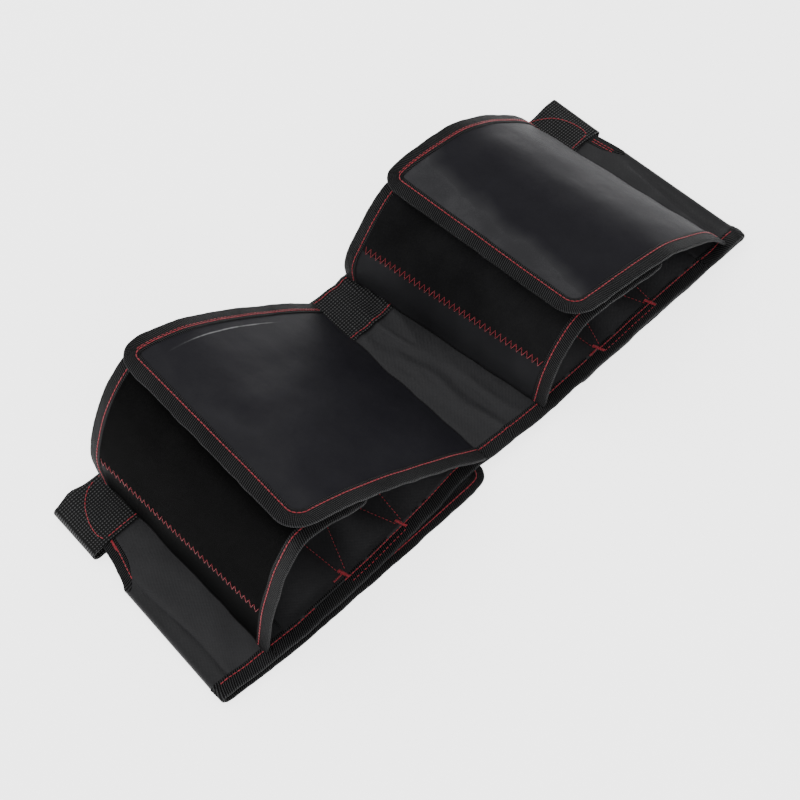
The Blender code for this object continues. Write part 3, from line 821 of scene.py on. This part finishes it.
BIND_HALF = 1.9
WEB_LIFT = CLOTH_T / 2 + 0.3 + WEB_T / 2
WEB_ARC = [(247.0, 56.5), (248.4, 64.0), (246.4, 76.0), (241.2, 88.5), (232.5, 97.0), (222.0, 100.5)]
WEB_SLIDE = {"left": 0.0, "right": 3.0}     # how far the webbing drifts up before its fold
WEB_PULL = {"left": 3.6, "right": 0.0}      # how far its outer edge is pulled out beside the fold
WEB_ROW_IN = 3.0
STITCH_IN = 10.0                # running stitch, in from a bound edge
BACK_STITCH_IN = 5.8
BACK_R = 13.0
FREE_PLAY = 3.5                 # the tape stands a little past the cloth at the free end
UNDER_TAPE = 2.0                # how far inside the tape a cloth's own edge stops
UNSEWN = (-171.0, -146.0, 104.0, 112.0)     # ends of two stretches of lower tape with no stitches
ON_TAPE = BIND_HALF * 0.8 + 0.25
ON_NOTCH = NOTCH_HALF * 0.8 + 0.25
ON_WEB = WEB_LIFT + WEB_T / 2 + 0.2


def sheet(surface, s, y):
    """Works out the cloth panel's points on its own surface; the result is not used."""
    at = surface.at(s, y)


def fold_blend(obj):
    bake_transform(obj)


def centre_blend(obj):
    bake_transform(obj)


def mesh_grid(s_values, low, high, count):
    s = np.repeat(np.asarray(s_values)[:, None], count, axis=1)
    f = np.linspace(0, 1, count)[None, :]
    y = np.asarray(low)[:, None] * (1 - f) + np.asarray(high)[:, None] * f
    return s, y


def corner_cut(s, end, radius):
    """How far a rounded free corner pulls the edge in at a station s."""
    d = np.clip(np.asarray(s) - (end - radius), 0, radius)
    return radius - np.sqrt(np.maximum(radius * radius - d * d, 0.0))


def low_at(strip, s):
    return float(strip.low(np.array([s]))[0])


def web_wave(along):
    return 0.35 * rumple(along, along * 0, 51.0, 14.0)


def end_cloth(side, strip, s_split, s_free):
    """The end's cloth, with its rows closest round the fold and at the rounded free corner."""
    rows = [np.arange(s_split, -QUARTER - 19, 3.0), np.linspace(-QUARTER - 18, -QUARTER, 19)[:-1],
            np.linspace(-QUARTER, QUARTER, 15), np.linspace(QUARTER, QUARTER + 9, 10)[1:],
            np.arange(QUARTER + 12, s_free - BACK_R - 2, 4.0),
            np.linspace(s_free - BACK_R, s_free - UNDER_TAPE, 12)]
    s_values = np.concatenate(rows)
    low = strip.low(s_values) + UNDER_TAPE + corner_cut(s_values, s_free, BACK_R)
    s, y = mesh_grid(s_values, low, strip.high(s_values) - UNDER_TAPE, 64)
    # its look has shade painted into the colour along the fold
    cloth = shell(side + "_end_cloth", strip, s, y, CLOTH_T, "oxford", look="oxford_painted_fold_shade")
    fold_blend(cloth)
    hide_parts(side + "_front_panel", side + "_back_flap")
    sheet(strip, s, y)


def end_rim(strip, s_split, s_free):
    """Down the free end, round its corner, and along the lower edge to the front."""
    base = low_at(strip, s_free - BACK_R)
    rim = [(s_free, CLOTH_TOP)]
    rim += [(s_free - BACK_R + BACK_R * math.cos(a), base + BACK_R * (1 + math.sin(a)))
            for a in np.linspace(0, -math.pi / 2, 12)]
    rim += [(s, low_at(strip, s)) for s in np.arange(s_free - BACK_R - 4, s_split, -2.0)]
    return rim + [(s_split, low_at(strip, s_split))]


def notch_edge(strip):
    """The cut-away corner's edge, from the back flap round to the front layer."""
    centre = NOTCH_S0[strip.side]
    steps = list(zip(NOTCH_D[strip.side], strip.notch_y()))
    edge = [(centre + d, y) for d, y in reversed(steps)] + [(centre - d, y) for d, y in steps[1:]]
    return catmull(edge, 160)[0]


def end_webbing(side, strip, s_split, s_free):
    rows = [np.arange(s_split, -QUARTER - 4, 4.0), np.linspace(-QUARTER, QUARTER, 19),
            np.arange(QUARTER + 4, s_free - 16, 4.0)]
    s_values = np.concatenate(rows)
    edge = web_wave(s_values)
    x = np.abs(strip.course(s_values)[0])
    pull = WEB_PULL[side] * np.exp(-((x - 243.0) / 9.0) ** 2) * (s_values < 0)
    slide = WEB_SLIDE[side] * rise(x, 222.0, 30.0)
    s, y = mesh_grid(s_values, WEB_Y0 + edge + slide, Y_TOP + edge + slide * 0.8 + pull, 22)
    web = shell(side + "_end_webbing", strip, s, y, WEB_T, "webbing", lift=WEB_LIFT)
    fold_blend(web)
    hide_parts(side + "_top_webbing", side + "_webbing_loop", side + "_webbing_tail")


def sew_front(side, strip, s_split, rim, notch):
    sewn = Sewing(side + "_front_stitching")
    sewn.row(strip, [p for p in rim if p[0] <= -QUARTER - 2], ON_TAPE, STITCH_IN, -1)
    edge = [p for p in notch if p[0] <= NOTCH_SEEN[side] and p[1] < WEB_Y0 + 2]
    for inset in NOTCH_ROWS[side]:
        sewn.row(strip, edge, ON_NOTCH, inset, 1)
    if side == "left":
        edge = resample(edge, 1.0)[0]
        inner = edge + inward_of(edge, 1) * 7.4
        sewn.tack(strip, inner[-11], inner[-2], 2.0, ON_NOTCH + 0.1)
    slide = WEB_SLIDE[side]
    arc = catmull([(strip.station(x + slide), y + slide * 0.9) for x, y in WEB_ARC], 60)[0]
    sewn.row(strip, arc, ON_WEB)
    low_end = (arc[0][0] - 1.0, WEB_Y0 + WEB_ROW_IN + 0.4 + slide)
    sewn.row(strip, [(s_split, WEB_Y0 + WEB_ROW_IN), low_end], ON_WEB)
    sewn.row(strip, [(s_split, Y_TOP - WEB_ROW_IN), (arc[-1][0] - 1.0, Y_TOP - 2.0)], ON_WEB)
    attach(sewn.build(), side + "_panel")


def sew_back(side, strip, s_free, rim, notch):
    sewn = Sewing(side + "_back_stitching")
    edge = [p for p in rim if p[0] >= QUARTER + 2]
    sewn.row(strip, edge, ON_TAPE, STITCH_IN, -1)
    sewn.row(strip, edge, -ON_TAPE, BACK_STITCH_IN, -1)
    sewn.row(strip, [p for p in notch if p[0] >= QUARTER + 1.5 and p[1] < WEB_Y0 + 1], ON_NOTCH, 7.6, 1)
    web_end = s_free - 18
    sewn.row(strip, [(QUARTER + 16, WEB_Y0 + WEB_ROW_IN), (web_end, WEB_Y0 + WEB_ROW_IN)], ON_WEB)
    sewn.row(strip, [(QUARTER + 28, Y_TOP - WEB_ROW_IN), (web_end, Y_TOP - WEB_ROW_IN)], ON_WEB)
    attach(sewn.build(), side + "_back")


def end_strip(side):
    """Front cloth, end fold and back flap of one end, with its tape, webbing and thread."""
    strip = StripSurface(side)
    s_split = strip.station(SPLIT[side])
    s_free = AXIS_X - FREE[side] + QUARTER + FREE_PLAY
    end_cloth(side, strip, s_split, s_free)
    rim = end_rim(strip, s_split, s_free)
    rim_tape = tape(side + "_rim_tape", strip, rim, -1, BIND_W, BIND_HALF, 21.0, drop=0.68)
    fold_blend(rim_tape)
    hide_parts(side + "_back_binding", side + "_lower_binding")
    notch = notch_edge(strip)
    notch_tape = tape(side + "_notch_tape", strip, notch, 1, NOTCH_W, NOTCH_HALF, 35.0, step=1.2,
                      drop=0.8, waist=0.4)
    fold_blend(notch_tape)
    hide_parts(side + "_corner_binding")
    end_webbing(side, strip, s_split, s_free)
    sew_front(side, strip, s_split, rim, notch)
    sew_back(side, strip, s_free, rim, notch)


def middle_strip():
    """Cloth, tape, webbing and thread between the two ends."""
    strip = StripSurface("mid")
    x0, x1 = -SPLIT["left"], SPLIT["right"]
    xs = np.concatenate([np.arange(x0, -30, 3.0), np.arange(-30, 56, 1.6), np.arange(56, x1, 3.0), [x1]])
    s, y = mesh_grid(xs, strip.low(xs) + UNDER_TAPE, strip.high(xs), 72)
    cloth = shell("middle_cloth", strip, s, y, CLOTH_T, "oxford")
    centre_blend(cloth)
    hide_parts("left_front_panel", "right_front_panel")
    sheet(strip, s, y)
    path = [(x, low_at(strip, x)) for x in np.arange(x0, x1 + 1, 3.0)]
    centre_blend(tape("middle_rim_tape", strip, path, 1, BIND_W, BIND_HALF, 21.0, drop=0.68))

    wx = np.arange(x0, x1 + 2, 3.0)
    edge = web_wave(wx)
    sag = 2.6 * np.exp(-((wx - 10.0) / 26.0) ** 2)
    s, y = mesh_grid(wx, WEB_Y0 + edge - sag, Y_TOP + edge - sag, 22)
    web = shell("middle_webbing", strip, s, y, WEB_T, "webbing", lift=WEB_LIFT)
    centre_blend(web)
    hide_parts("left_top_webbing", "right_top_webbing")

    sewn = Sewing("middle_stitching")
    ends = [x0, *UNSEWN, x1]
    for a, b in zip(ends[::2], ends[1::2]):
        sewn.row(strip, [p for p in path if a <= p[0] <= b], ON_TAPE, STITCH_IN, 1)
    sewn.row(strip, [(x, WEB_Y0 + WEB_ROW_IN - g) for x, g in zip(wx, sag)], ON_WEB)
    sewn.row(strip, [(x, Y_TOP - WEB_ROW_IN - g) for x, g in zip(wx, sag)], ON_WEB)
    centre_blend(sewn.build())


# ---- pleated pockets ----

TACK_LIFT = BIND_HALF * 0.9 + 0.3
CELL_RISE = 8.2
CELL_RUN = 48.0                 # how far up from its lower edge a cell is still filling out
PLEAT_RUN = 34.0                # how far up from the tacks the pleats spread
PLEAT_GAP = 1.0
PLEAT_OUTER = 4.0
PLEAT_INNER = 13.5


class PocketSurface(Surface):
    """Three soft cells sewn down between pleats that spread from the bar tacks. s is plain x."""

    def __init__(self, side):
        self.flip = 1.0
        lo, hi = mm_box(side + "_pocket_panel")
        tacks = [mm_box(f"{side}_bar_tack_{i}") for i in (1, 2)]
        self.x = (lo[0] + 0.5, hi[0] - 0.5)
        self.tack = [(a[0] + b[0]) / 2 for a, b in tacks]
        self.tack_y = (tacks[0][0][1] + tacks[0][1][1]) / 2
        self.y = (Y_LOW + BIND_W - 1.0, hi[1])
        self.base = FRONT_TOP + 0.7

    def cells(self, y):
        """Each cell's two edges in x at a height y: the pleats between them open upward."""
        t0, t1 = self.tack
        f = np.clip((np.asarray(y) - self.tack_y) / PLEAT_RUN, 0.0, 1.15)
        outer = PLEAT_GAP + PLEAT_OUTER * f
        inner = PLEAT_GAP + PLEAT_INNER * f
        x0, x1 = (x + np.zeros_like(f) for x in self.x)
        return (x0, t0 - outer), (t0 + inner, t1 - inner), (t1 + outer, x1)

    def at(self, s, y):
        s, y = np.broadcast_arrays(np.asarray(s, float), np.asarray(y, float))
        grow = np.sin(np.clip((y - self.y[0]) / CELL_RUN, 0, 1) * math.pi / 2)
        z = np.full(s.shape, self.base)
        for a, b in self.cells(y):
            u = np.clip((s - a) / np.maximum(b - a, 1e-6), 0, 1)
            z = z + CELL_RISE * grow * np.sin(np.pi * u) ** 0.8
        z = z + 0.5 * rumple(s, y, 14.0, 22.0) * grow
        return np.stack([s, y, z], axis=-1)


def pockets(side):
    """The pleated panel, the hem along its mouths, its pleat seams and the red bar tacks."""
    cloth = PocketSurface(side)
    xs = np.linspace(cloth.x[0], cloth.x[1], 84)
    strip = StripSurface("mid")
    s, y = mesh_grid(xs, strip.low(xs) + BIND_W - 3.0, np.full(len(xs), cloth.y[1]), 54)
    obj = shell(side + "_pocket_cloth", cloth, s, y, 1.0, "oxford")
    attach(obj, side + "_panel")
    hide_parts(side + "_pocket_panel")
    sheet(cloth, s, y)
    hem = tape(side + "_pocket_hem_tape", cloth, [(x, cloth.y[1] + 4.0) for x in xs], -1, 9.0, 1.0, 61.0)
    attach(hem, side + "_panel")
    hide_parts(side + "_pocket_hem")
    sewn = Sewing(side + "_pleat_stitching")
    y_line = np.linspace(cloth.tack_y + 3.0, cloth.y[1] - 8, 40)
    for i in range(2):
        left_of = cloth.cells(y_line)[i][1] - 0.6
        right_of = cloth.cells(y_line)[i + 1][0] + 0.6
        for line in (left_of, right_of):
            sewn.row(cloth, list(zip(line, y_line)), 0.62, pitch=3.0, length=1.9, radius=FINE_R)
    t0, t1 = cloth.tack
    for x in (t0, t1):
        sewn.tack(strip, (x + 1.5, cloth.tack_y - 3.5), (x - 1.0, cloth.tack_y + 5.0), 2.6, TACK_LIFT)
    sewn.tack(strip, (t0 - 9.0, cloth.tack_y + 1.0), (t0 - 2.0, cloth.tack_y + 1.4), 1.6, TACK_LIFT)
    near_edge = [(x, low_at(strip, x)) for x in np.linspace(t0 + 1.0, t1 + 1.0, 30)]
    sewn.row(strip, near_edge, TACK_LIFT, 5.6, 1, pitch=3.6, length=2.2, radius=0.34)
    obj = sewn.build()
    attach(obj, side + "_panel")
    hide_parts(side + "_bar_tack_1", side + "_bar_tack_2")


# ---- covers and bands ----

COVER_R = (20.0, 15.0)          # free corners: lower edge, webbing edge
COVER_T = 1.6
COVER_HALF = 1.55
HOOK_IN = 20.0
HOOK_REACH = 62.0
BAND_R = (12.0, 12.0)
BAND_T = 1.5
BAND_HALF = 1.35
BAND_TAPE_W = 12.0
BAND_STITCH_IN = 9.0
ZIGZAG_S = 37.0
ZIGZAG_W = 6.2
ZIGZAG_PITCH = 4.8
ON_COVER = COVER_HALF * 0.8 + 0.25
ON_BAND = BAND_HALF * 0.8 + 0.25


def root_blend(obj):
    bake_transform(obj)


def round_end(length, radii):
    """A sheet's three free edges, from the root at the lower edge to the root at the webbing edge."""
    r0, r1 = radii
    path = [(s, ARCH_Y0) for s in np.linspace(0, length - r0, 30)]
    path += [(length - r0 + r0 * math.sin(a), ARCH_Y0 + r0 * (1 - math.cos(a)))
             for a in np.linspace(0.1, math.pi / 2, 14)]
    path += [(length - r1 + r1 * math.cos(a), ARCH_Y1 - r1 * (1 - math.sin(a)))
             for a in np.linspace(0, math.pi / 2, 15)]
    path += [(s, ARCH_Y1) for s in np.linspace(length - r1, 0, 30)[1:]]
    return path


def arch_grid(s_values, end, radii, inset, count):
    cuts = [corner_cut(s_values, end - inset, r - inset) for r in radii]
    return mesh_grid(s_values, ARCH_Y0 + inset + cuts[0], ARCH_Y1 - inset - cuts[1], count)


def cover(side):
    """The coated cover, its edge tape, the hook tape under its free end, and its stitching."""
    near, far = COVER[side]
    cloth = ArchSurface(near, far, 31.0 if side == "left" else 47.0, 1.6)
    length = cloth.length
    s_values = [np.linspace(0, length - 24, 52), np.linspace(length - 22.5, length - 2.2, 16)]
    s, y = arch_grid(np.concatenate(s_values), length, COVER_R, UNDER_TAPE, 60)
    panel = shell(side + "_cover_cloth", cloth, s, y, COVER_T, "coated_fabric", look=side + "_cover",
                  apart=300.0)
    root_blend(panel)
    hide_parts(side + "_cover_flap")
    sheet(cloth, s, y)
    edge = round_end(length, COVER_R)
    rim = tape(side + "_cover_tape", cloth, edge, 1, BIND_W, COVER_HALF, 71.0)
    root_blend(rim)
    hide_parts(side + "_cover_binding")
    hook_s = np.linspace(length - HOOK_REACH, length - HOOK_IN, 14)
    s, y = mesh_grid(hook_s, np.full(14, ARCH_Y0 + HOOK_IN), np.full(14, ARCH_Y1 - HOOK_IN), 30)
    hook = shell(side + "_hook_tape", cloth, s, y, 1.0, "hook_tape", lift=-1.5)
    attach(hook, side + "_cover")
    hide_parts(side + "_hook_patch")
    sewn = Sewing(side + "_cover_stitching")
    sewn.row(cloth, edge, ON_COVER, STITCH_IN, 1)
    sewn.row(cloth, edge, -ON_COVER, STITCH_IN, 1)
    far_edge = [p for p in edge if p[1] > ARCH_Y1 - 0.5]
    sewn.row(cloth, far_edge, ON_COVER, STITCH_IN - 1.3, 1, radius=FINE_R)
    root_blend(sewn.build())


def band(side):
    """The loop band on its plain foot, its edge tape, and the red zigzag where the two meet."""
    near, far = BAND[side]
    cloth = ArchSurface(near, far, 83.0 if side == "left" else 97.0, 1.0)
    length = cloth.length
    low, high = np.full(14, ARCH_Y0 + UNDER_TAPE), np.full(14, ARCH_Y1 - UNDER_TAPE)
    s, y = mesh_grid(np.linspace(0, ZIGZAG_S, 14), low, high, 50)
    # the look's tone is painted shade on the left and painted light on the right
    foot = shell(side + "_foot_satin", cloth, s, y, BAND_T, "plain_satin", look=side + "_satin")
    root_blend(foot)
    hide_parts(side + "_foot_strip")
    sheet(cloth, s, y)
    s_values = [np.linspace(ZIGZAG_S - 1.5, length - 12, 44), np.linspace(length - 11, length - 2.1, 8)]
    s, y = arch_grid(np.concatenate(s_values), length, BAND_R, UNDER_TAPE, 56)
    loops = shell(side + "_loop_face", cloth, s, y, BAND_T, "loop_velvet", lift=0.35,
                  look=side + "_velvet")
    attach(loops, side + "_band")
    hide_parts(side + "_loop_fabric")
    sheet(cloth, s, y)
    edge = round_end(length, BAND_R)
    rim = tape(side + "_band_tape", cloth, edge, 1, BAND_TAPE_W, BAND_HALF, 77.0)
    root_blend(rim)
    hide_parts(side + "_band_binding_near", side + "_band_binding_far")
    sewn = Sewing(side + "_band_stitching")
    sewn.row(cloth, edge, ON_BAND, BAND_STITCH_IN, 1)
    sewn.row(cloth, edge, -ON_BAND, BAND_STITCH_IN, 1)
    seam = [(ZIGZAG_S, ARCH_Y0 + BAND_TAPE_W + 0.5), (ZIGZAG_S, ARCH_Y1 - BAND_TAPE_W - 0.5)]
    sewn.zigzag(cloth, seam, 1.3, ZIGZAG_W, ZIGZAG_PITCH)
    root_blend(sewn.build())


for which in ("left", "right"):
    end_strip(which)
    pockets(which)
    cover(which)
    band(which)
middle_strip()


# ---- studio ----

LIGHT_AIM = (0, 0, 0.03)
LIGHTS = {
    "key": ((-0.3, 0.9, 1.5), (1.4, 1.4), 9.0),
    "fill": ((-0.6, -1.4, 1.1), (1.4, 0.8), 9.0),
    "back": ((0.7, 1.3, 1.1), (1.6, 1.0), 1.5),
}
SKY = 1.02
FLOOR_DROP = 0.0004             # keeps the floor clear of the lowest tape
FLOOR_HALF = 60.0
CAMERA_AT = (-0.3058, -0.4943, 0.9738)
CAMERA_TURN = (29.47, 6.65, -42.33)
CAMERA_LENS = 67.7


def area_light(name, where, size, power):
    data = bpy.data.lights.new(name, "AREA")
    data.shape = "RECTANGLE"
    data.size = size[0]
    data.size_y = size[1]
    data.energy = power
    obj = bpy.data.objects.new(name, data)
    obj.location = where
    obj.rotation_mode = "QUATERNION"
    obj.rotation_quaternion = (Vector(LIGHT_AIM) - Vector(where)).to_track_quat("-Z", "Y")
    bpy.context.scene.collection.objects.link(obj)


bm = bmesh.new()
bmesh.ops.create_grid(bm, x_segments=8, y_segments=8, size=FLOOR_HALF)
floor_mesh = bpy.data.meshes.new("floor")
bm.to_mesh(floor_mesh)
bm.free()
floor_mesh.uv_layers.new(name="UVMap")
floor_mesh.materials.append(studio_floor())
floor = bpy.data.objects.new("floor", floor_mesh)
floor.location.z = -FLOOR_DROP
bpy.context.scene.collection.objects.link(floor)

world = bpy.data.worlds.new("studio")
world.use_nodes = True
world.node_tree.nodes["Background"].inputs["Color"].default_value = (1.0, 1.0, 1.0, 1.0)
world.node_tree.nodes["Background"].inputs["Strength"].default_value = SKY
bpy.context.scene.world = world
for light, (where, size, power) in LIGHTS.items():
    area_light(light, where, size, power)

cam_data = bpy.data.cameras.new("camera")
cam_data.lens = CAMERA_LENS
cam_data.sensor_width = 36.0
cam_data.clip_start = 0.05
cam_data.clip_end = 300.0
camera = bpy.data.objects.new("camera", cam_data)
camera.rotation_euler = [math.radians(turn) for turn in CAMERA_TURN]
camera.location = CAMERA_AT
bpy.context.scene.collection.objects.link(camera)
bpy.context.scene.camera = camera
